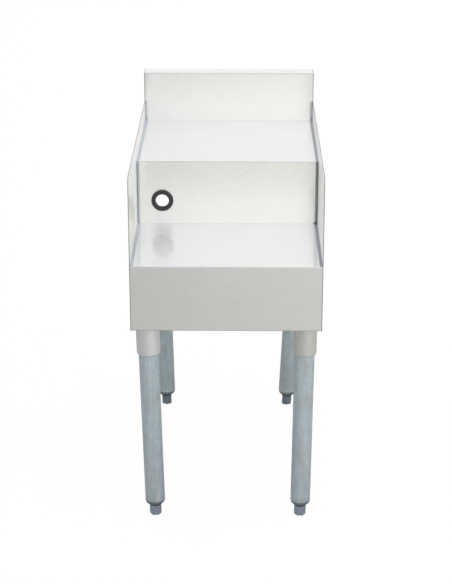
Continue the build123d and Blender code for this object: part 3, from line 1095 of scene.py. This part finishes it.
class StationBuildStage(bpy.types.Operator):
    """Set up the floor, the lamps, the background and the camera"""

    bl_idname = "bar_station.build_stage"
    bl_label = "Build stage"

    def execute(self, context):
        settings = context.scene.station_stage
        self.add_camera(context, settings)
        self.add_floor(context, settings)
        self.add_world(context, settings)
        self.add_lamps(context, settings)
        context.scene.view_settings.view_transform = "Standard"
        return {"FINISHED"}

    @staticmethod
    def add_camera(context, settings):
        """A camera with the photograph's focal length, its sensor's width along the height."""
        data = bpy.data.cameras.new("photo_camera")
        data.sensor_width = 36.0
        data.lens = settings.focal_pixels * data.sensor_width / settings.image_height
        camera = bpy.data.objects.new("photo_camera", data)
        camera.location = settings.camera_place
        camera.rotation_euler = (math.pi / 2 - settings.camera_pitch, 0, settings.camera_yaw)
        context.scene.collection.objects.link(camera)
        context.scene.camera = camera

    @staticmethod
    def add_floor(context, settings):
        """A square sheet of grey paper, which the camera looks through.

        Behind it the camera sees the white world, and of the paper just enough to make out the
        shadow on it. So the feet stay in sight when they are screwed out below the floor.
        """
        half, grade = settings.floor_size / 2, settings.floor_grade
        mesh = bpy.data.meshes.new("studio_floor")
        corners = [(-half, -half, 0), (half, -half, 0), (half, half, 0), (-half, half, 0)]
        mesh.from_pydata(corners, [], [(0, 1, 2, 3)])
        floor = bpy.data.objects.new("studio_floor", mesh)
        context.scene.collection.objects.link(floor)
        # Studio paper: matt and grey, and paler to the right as painted light
        material, tree, output = new_material("Studio_paper_grey")
        place = add_node(tree, "ShaderNodeTexCoord").outputs["Object"]
        across = [
            (-grade, settings.floor_left),
            (0.0, settings.floor_colour),
            (grade, settings.floor_right),
        ]
        graded = bands_along(tree, place, "X", across)
        seen = add_node(tree, "ShaderNodeLightPath").outputs["Is Camera Ray"]
        haze = {"To Min": 1.0, "To Max": settings.floor_haze}
        left = add_node(tree, "ShaderNodeMapRange", haze, {"Value": seen})
        links = {6: graded, 7: left.outputs["Result"]}
        shown = add_node(tree, "ShaderNodeMix", PRODUCT, links).outputs[2]
        paper = add_node(tree, "ShaderNodeBsdfDiffuse", links={"Color": shown})
        window = {"To Min": 0.0, "To Max": settings.floor_clear}
        clear = add_node(tree, "ShaderNodeMapRange", window, {"Value": seen}).outputs["Result"]
        through = add_node(tree, "ShaderNodeBsdfTransparent", links={"Color": clear})
        shaders = {0: paper.outputs[0], 1: through.outputs[0]}
        both = add_node(tree, "ShaderNodeAddShader", links=shaders)
        tree.links.new(both.outputs[0], output.inputs["Surface"])
        mesh.materials.append(material)

    @staticmethod
    def add_world(context, settings):
        """A white world: full white wherever it is seen, and a little less as a light."""
        world = bpy.data.worlds.new("studio")
        context.scene.world = world
        world.use_nodes = True
        tree = world.node_tree
        tree.nodes.clear()
        output = add_node(tree, "ShaderNodeOutputWorld")
        path = add_node(tree, "ShaderNodeLightPath").outputs
        either = {"operation": "MAXIMUM"}
        rays = {0: path["Is Camera Ray"], 1: path["Is Glossy Ray"]}
        direct = add_node(tree, "ShaderNodeMath", either, rays)
        rays = {0: direct.outputs[0], 1: path["Is Transmission Ray"]}
        seen = add_node(tree, "ShaderNodeMath", either, rays)
        levels = {"To Min": settings.world_radiance, "To Max": 1.0}
        strength = add_node(tree, "ShaderNodeMapRange", levels, {"Value": seen.outputs[0]})
        links = {"Strength": strength.outputs["Result"]}
        background = add_node(tree, "ShaderNodeBackground", {"Color": (1, 1, 1, 1)}, links)
        tree.links.new(background.outputs[0], output.inputs["Surface"])

    @staticmethod
    def add_lamps(context, settings):
        """Softboxes aimed at the station's middle, each with its place and its size in metres."""
        middle = (cad_box[0] + cad_box[1]) / 2
        warm, cool = linear(settings.warm_light)[:3], linear(settings.cool_light)[:3]
        lamps = (
            ("key_softbox", (1.3, -3.7, 2.1), (3.4, 2.6), settings.key_radiance, warm),
            ("fill_softbox", (1.9, -3.5, 2.1), (3.2, 2.6), settings.fill_radiance, warm),
            ("low_softbox", (0.9, -3.7, 0.9), (3.4, 1.4), settings.low_radiance, warm),
            ("right_softbox", (2.6, -2.4, 1.3), (2.0, 2.0), settings.right_radiance, warm),
            ("high_softbox", (0.0, -3.4, 3.2), (2.6, 1.6), settings.high_radiance, cool),
        )
        for name, place, (width, height), radiance, colour in lamps:
            data = bpy.data.lights.new(name, "AREA")
            data.shape = "RECTANGLE"
            data.size = width
            data.size_y = height
            data.energy = radiance * math.pi * width * height
            data.color = colour
            lamp = bpy.data.objects.new(name, data)
            lamp.location = place
            aim = middle - Vector(place)
            lamp.rotation_euler = aim.to_track_quat("-Z", "Y").to_euler()
            context.scene.collection.objects.link(lamp)


class StationPanel(bpy.types.Panel):
    """Lists the station's making and its settings in the sidebar"""

    bl_idname = "VIEW3D_PT_bar_station"
    bl_label = "Bar blender station"
    bl_space_type = "VIEW_3D"
    bl_region_type = "UI"
    bl_category = "Station"

    def draw(self, context):
        for operator in OPERATORS:
            self.layout.operator(operator.bl_idname)
        for name, group in SETTINGS.items():
            box = self.layout.box()
            for field in group.__annotations__:
                box.prop(getattr(context.scene, name), field)


SETTINGS = {
    "station_sheets": StationSheetSettings,
    "station_legs": StationLegSettings,
    "station_feet": StationFootSettings,
    "station_grommet": StationGrommetSettings,
    "station_stage": StationStageSettings,
}
OPERATORS = (
    StationBrushSheets,
    StationCastSockets,
    StationDrawLegs,
    StationMouldFeet,
    StationPressGrommet,
    StationBuildStage,
)


def register():
    """Registers the settings, the operators and the panel."""
    for name, settings in SETTINGS.items():
        bpy.utils.register_class(settings)
        setattr(bpy.types.Scene, name, PointerProperty(type=settings))
    for operator in OPERATORS:
        bpy.utils.register_class(operator)
    bpy.utils.register_class(StationPanel)


def unregister():
    """Takes them away again."""
    bpy.utils.unregister_class(StationPanel)
    for operator in reversed(OPERATORS):
        bpy.utils.unregister_class(operator)
    for name, settings in SETTINGS.items():
        delattr(bpy.types.Scene, name)
        bpy.utils.unregister_class(settings)


def main():
    """Makes everything in order."""
    register()
    bpy.ops.bar_station.brush_sheets()
    bpy.ops.bar_station.cast_sockets()
    bpy.ops.bar_station.draw_legs()
    bpy.ops.bar_station.mould_feet()
    bpy.ops.bar_station.press_grommet()
    bpy.ops.bar_station.build_stage()


if __name__ == "__main__":
    main()
